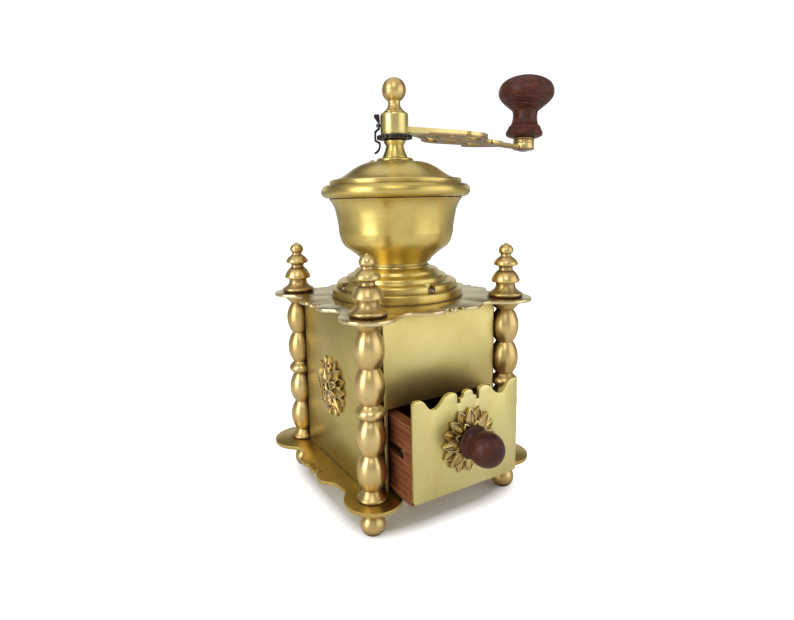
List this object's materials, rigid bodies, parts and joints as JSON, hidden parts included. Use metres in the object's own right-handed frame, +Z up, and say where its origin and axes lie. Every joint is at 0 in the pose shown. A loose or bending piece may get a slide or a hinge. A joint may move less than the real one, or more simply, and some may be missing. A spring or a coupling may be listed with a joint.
{
  "type": "manual_coffee_grinder",
  "caption": "Brass table coffee grinder with turned columns, scalloped plates, domed hopper lid, pierced crank and a drawer",
  "frame": {"origin": "middle of the base plate underside, on the spindle axis", "axes": "+Z up, -Y the drawer front, +X towards the crank knob at rest"},
  "size_m": [0.2191, 0.1669, 0.2831],
  "materials": {
    "sheet_brass": "satin brushed, clear lacquer",
    "turned_brass": "turned and burnished, warm tone",
    "spun_brass": "spun, satin",
    "cast_brass": "cast, dark in the hollows",
    "dark_wood": "stained and varnished",
    "drawer_wood": "stained, matt",
    "steel": "plain",
    "black_steel": "blackened",
    "burr_iron": "bare casting"
  },
  "bodies": {
    "case": {"base_plate": "sheet_brass", "top_plate": "sheet_brass", "front_panel": "sheet_brass", "rear_panel": "sheet_brass", "left_panel": "sheet_brass", "right_panel": "sheet_brass", "column_front_left": "turned_brass", "column_front_right": "turned_brass", "column_rear_right": "turned_brass", "column_rear_left": "turned_brass", "finial_front_left": "turned_brass", "finial_front_right": "turned_brass", "finial_rear_right": "turned_brass", "finial_rear_left": "turned_brass", "foot_front_left": "turned_brass", "foot_front_right": "turned_brass", "foot_rear_right": "turned_brass", "foot_rear_left": "turned_brass", "spindle_guard": "turned_brass", "hopper_plinth": "spun_brass", "hopper_steps": "spun_brass", "hopper_bowl": "spun_brass", "lid_dome": "spun_brass", "left_rosette": "cast_brass", "right_rosette": "cast_brass", "drawer_runner_left": "dark_wood", "drawer_runner_right": "dark_wood", "tie_rod_front_left": "steel", "tie_rod_front_right": "steel", "tie_rod_rear_right": "steel", "tie_rod_rear_left": "steel", "hopper_screw_front": "steel", "hopper_screw_rear": "steel", "hopper_screw_left": "steel", "hopper_screw_right": "steel", "bridge_screw_left": "steel", "bridge_screw_right": "steel", "lower_bridge": "steel", "outer_burr": "burr_iron"},
    "crank": {"crank_arm": "sheet_brass", "ball_nut": "turned_brass", "spindle": "steel", "inner_burr": "burr_iron", "burr_spring": "steel", "knob_ferrule": "turned_brass", "knob_pin": "steel", "latch_pin": "black_steel"},
    "crank_knob_body": {"crank_knob": "dark_wood"},
    "grind_nut_body": {"grind_nut": "black_steel"},
    "latch_body": {"latch": "black_steel"},
    "hatch": {"lid_hatch": "spun_brass"},
    "drawer": {"drawer_front": "sheet_brass", "drawer_left_side": "drawer_wood", "drawer_right_side": "drawer_wood", "drawer_front_board": "drawer_wood", "drawer_back_board": "drawer_wood", "drawer_floor": "drawer_wood", "drawer_rosette": "cast_brass", "drawer_knob": "dark_wood"}
  },
  "joints": [
    {"name": "crank_spin", "type": "hinge", "parent": "case", "child": "crank", "pos_m": [0, 0, 0.2128], "axis": [0, 0, 1], "continuous": true},
    {"name": "knob_spin", "type": "hinge", "parent": "crank", "child": "crank_knob_body", "pos_m": [0.12528, 0.01184, 0.20723], "axis": [0.0504, 0.0048, 0.9987], "continuous": true},
    {"name": "grind_nut_turn", "type": "hinge", "parent": "crank", "child": "grind_nut_body", "pos_m": [0, 0, 0.2088], "axis": [0, 0, 1], "range_deg": [-60, 60]},
    {"name": "latch_flex", "type": "hinge", "parent": "crank", "child": "latch_body", "pos_m": [-0.00844, 0.00499, 0.2175], "axis": [0.509, 0.8607, 0], "range_deg": [0, 4], "stiffness_Nm_per_rad": 0.05},
    {"name": "hatch_turn", "type": "hinge", "parent": "case", "child": "hatch", "pos_m": [0, 0, 0.1929], "axis": [0, 0, -1], "range_deg": [0, 70]},
    {"name": "drawer_slide", "type": "slide", "parent": "case", "child": "drawer", "axis": [0, -1, 0], "range_m": [-0.022, 0.036]}
  ]
}
